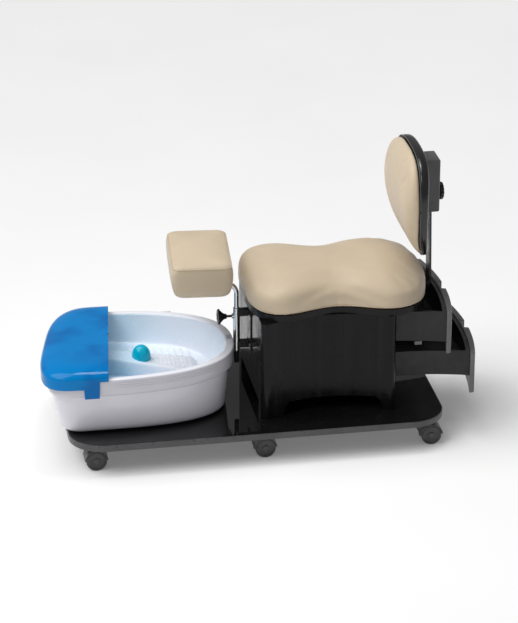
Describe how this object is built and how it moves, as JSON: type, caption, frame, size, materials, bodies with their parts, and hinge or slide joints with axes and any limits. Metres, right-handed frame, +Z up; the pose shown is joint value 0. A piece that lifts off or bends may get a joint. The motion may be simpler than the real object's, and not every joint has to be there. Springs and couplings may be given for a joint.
{
  "type": "pedicure spa chair",
  "caption": "Low wheeled pedicure work seat with a drawer cabinet, padded waisted saddle, clamped backrest and footrest pads, and a loose foot bath under a splash hood.",
  "frame": {"origin": "middle of the bounding box, on the floor the wheels stand on", "axes": "+X towards the drawers and backrest, -X towards the foot bath, +Y across, +Z up"},
  "size_m": [1.0766, 0.497, 0.709],
  "materials": {
    "bar_steel": "dark grey enamel",
    "zinc_steel": "zinc-plated pressed steel",
    "carrier_black": "black moulding",
    "beige_leatherette": "satin beige leatherette, fine grain",
    "knob_black": "black phenolic",
    "back_shell_black": "black moulded shell",
    "deck_gloss": "high-gloss black laminate top",
    "edge_band": "glossy dark grey edge band",
    "basin_blue": "glossy pale blue moulding",
    "button_lavender": "pale lavender key",
    "foot_rubber": "dark rubber pad",
    "motor_grey": "grey sealed housing",
    "bath_white": "glossy white moulding",
    "drawer_grey": "satin mid grey moulding",
    "cabinet_gloss": "semi-gloss charcoal moulding",
    "caster_plastic": "moulded dark grey nylon",
    "steel_pin": "bright turned steel",
    "wheel_tread": "soft dark tread, dull",
    "drawer_dark": "semi-gloss dark grey moulding",
    "post_chrome": "bright chrome tube",
    "dome_teal": "glossy teal moulding",
    "plywood": "raw birch plywood",
    "tray_black": "satin black moulding",
    "cover_blue": "translucent blue plastic"
  },
  "bodies": {
    "cart": {"base_board": "deck_gloss", "base_edge_band": "edge_band", "caster_plates": "zinc_steel", "caster_screws": "zinc_steel", "cabinet_lower_shell": "cabinet_gloss", "cabinet_upper_shell": "cabinet_gloss", "cabinet_feet": "cabinet_gloss", "cabinet_screws": "zinc_steel", "drawer_runners": "drawer_dark", "seat_tray": "tray_black", "seat_board": "plywood", "seat_cushion": "beige_leatherette", "seat_screws": "zinc_steel", "back_bar": "bar_steel", "back_bar_bolts": "zinc_steel", "footrest_sleeve": "post_chrome", "footrest_bracket": "bar_steel", "footrest_bracket_screws": "zinc_steel"},
    "lower_drawer": {"lower_drawer_box": "drawer_dark", "lower_drawer_front": "drawer_grey"},
    "upper_drawer": {"upper_drawer_box": "drawer_dark", "upper_drawer_front": "drawer_grey", "upper_drawer_guides": "drawer_grey"},
    "backrest": {"back_carrier": "carrier_black", "back_shell": "back_shell_black", "back_cushion": "beige_leatherette"},
    "back_clamp": {"back_knob": "knob_black"},
    "footrest_lift": {"footrest_post_cap": "knob_black"},
    "footrest": {"footrest_post": "post_chrome", "footrest_plate": "bar_steel", "footrest_cushion": "beige_leatherette"},
    "footrest_clamp": {"footrest_knob": "knob_black"},
    "foot_bath": {"bath_shell": "bath_white", "bath_basin": "basin_blue", "bath_ridge": "bath_white", "bath_feet": "foot_rubber", "bath_motor": "motor_grey", "bath_cord_gland": "foot_rubber", "bath_side_grip": "drawer_grey"},
    "bath_key": {"bath_button": "button_lavender"},
    "dome": {"massage_dome": "dome_teal"},
    "cover": {"splash_cover": "cover_blue"},
    "caster_swivel_1": {"caster_hood_1": "caster_plastic", "caster_pins_1": "steel_pin"},
    "caster_roll_1": {"caster_wheels_1": "wheel_tread"},
    "caster_swivel_2": {"caster_hood_2": "caster_plastic", "caster_pins_2": "steel_pin"},
    "caster_roll_2": {"caster_wheels_2": "wheel_tread"},
    "caster_swivel_3": {"caster_hood_3": "caster_plastic", "caster_pins_3": "steel_pin"},
    "caster_roll_3": {"caster_wheels_3": "wheel_tread"},
    "caster_swivel_4": {"caster_hood_4": "caster_plastic", "caster_pins_4": "steel_pin"},
    "caster_roll_4": {"caster_wheels_4": "wheel_tread"},
    "caster_swivel_5": {"caster_hood_5": "caster_plastic", "caster_pins_5": "steel_pin"},
    "caster_roll_5": {"caster_wheels_5": "wheel_tread"},
    "caster_swivel_6": {"caster_hood_6": "caster_plastic", "caster_pins_6": "steel_pin"},
    "caster_roll_6": {"caster_wheels_6": "wheel_tread"}
  },
  "joints": [
    {"name": "lower_drawer_slide", "type": "slide", "parent": "cart", "child": "lower_drawer", "axis": [1, 0, 0], "range_m": [-0.181, 0.045]},
    {"name": "upper_drawer_slide", "type": "slide", "parent": "cart", "child": "upper_drawer", "axis": [1, 0, 0], "range_m": [-0.12, 0.106]},
    {"name": "backrest_height", "type": "slide", "parent": "cart", "child": "backrest", "axis": [-0.0193, 0, 0.9998], "range_m": [0, 0.08]},
    {"name": "backrest_clamp_turn", "type": "hinge", "parent": "backrest", "child": "back_clamp", "pos_m": [0.45327, 0, 0.579], "axis": [1, 0, 0], "range_deg": [0, 360]},
    {"name": "footrest_height", "type": "slide", "parent": "cart", "child": "footrest_lift", "axis": [0, 0, 1], "range_m": [-0.038, 0.06]},
    {"name": "footrest_swing", "type": "hinge", "parent": "footrest_lift", "child": "footrest", "pos_m": [-0.04273, 0, 0.2], "axis": [0, 0, 1], "range_deg": [-8, 18]},
    {"name": "footrest_clamp_turn", "type": "hinge", "parent": "cart", "child": "footrest_clamp", "pos_m": [-0.06073, 0, 0.284], "axis": [1, 0, 0], "range_deg": [0, 360]},
    {"name": "foot_bath_pull_off", "type": "slide", "parent": "cart", "child": "foot_bath", "axis": [-1, 0, 0], "range_m": [0, 0.2]},
    {"name": "bath_key_press", "type": "slide", "parent": "foot_bath", "child": "bath_key", "axis": [0, 0, -1], "range_m": [0, 0.0015], "stiffness_N_per_m": 400},
    {"name": "dome_lift_off", "type": "slide", "parent": "foot_bath", "child": "dome", "axis": [0, 0, 1], "range_m": [0, 0.06]},
    {"name": "cover_lift_off", "type": "slide", "parent": "foot_bath", "child": "cover", "axis": [0, 0, 1], "range_m": [0, 0.1]},
    {"name": "caster_swivel_1", "type": "hinge", "parent": "cart", "child": "caster_swivel_1", "pos_m": [-0.43173, -0.196, 0.055], "axis": [0, 0, 1], "continuous": true},
    {"name": "caster_roll_1", "type": "hinge", "parent": "caster_swivel_1", "child": "caster_roll_1", "pos_m": [-0.41873, -0.196, 0.025], "axis": [0, 1, 0], "continuous": true},
    {"name": "caster_swivel_2", "type": "hinge", "parent": "cart", "child": "caster_swivel_2", "pos_m": [-0.43173, 0.196, 0.055], "axis": [0, 0, 1], "continuous": true},
    {"name": "caster_roll_2", "type": "hinge", "parent": "caster_swivel_2", "child": "caster_roll_2", "pos_m": [-0.41873, 0.196, 0.025], "axis": [0, 1, 0], "continuous": true},
    {"name": "caster_swivel_3", "type": "hinge", "parent": "cart", "child": "caster_swivel_3", "pos_m": [-0.02073, -0.196, 0.055], "axis": [0, 0, 1], "continuous": true},
    {"name": "caster_roll_3", "type": "hinge", "parent": "caster_swivel_3", "child": "caster_roll_3", "pos_m": [-0.00773, -0.196, 0.025], "axis": [0, 1, 0], "continuous": true},
    {"name": "caster_swivel_4", "type": "hinge", "parent": "cart", "child": "caster_swivel_4", "pos_m": [-0.02073, 0.196, 0.055], "axis": [0, 0, 1], "continuous": true},
    {"name": "caster_roll_4", "type": "hinge", "parent": "caster_swivel_4", "child": "caster_roll_4", "pos_m": [-0.00773, 0.196, 0.025], "axis": [0, 1, 0], "continuous": true},
    {"name": "caster_swivel_5", "type": "hinge", "parent": "cart", "child": "caster_swivel_5", "pos_m": [0.39027, -0.196, 0.055], "axis": [0, 0, 1], "continuous": true},
    {"name": "caster_roll_5", "type": "hinge", "parent": "caster_swivel_5", "child": "caster_roll_5", "pos_m": [0.40327, -0.196, 0.025], "axis": [0, 1, 0], "continuous": true},
    {"name": "caster_swivel_6", "type": "hinge", "parent": "cart", "child": "caster_swivel_6", "pos_m": [0.39027, 0.196, 0.055], "axis": [0, 0, 1], "continuous": true},
    {"name": "caster_roll_6", "type": "hinge", "parent": "caster_swivel_6", "child": "caster_roll_6", "pos_m": [0.40327, 0.196, 0.025], "axis": [0, 1, 0], "continuous": true}
  ]
}
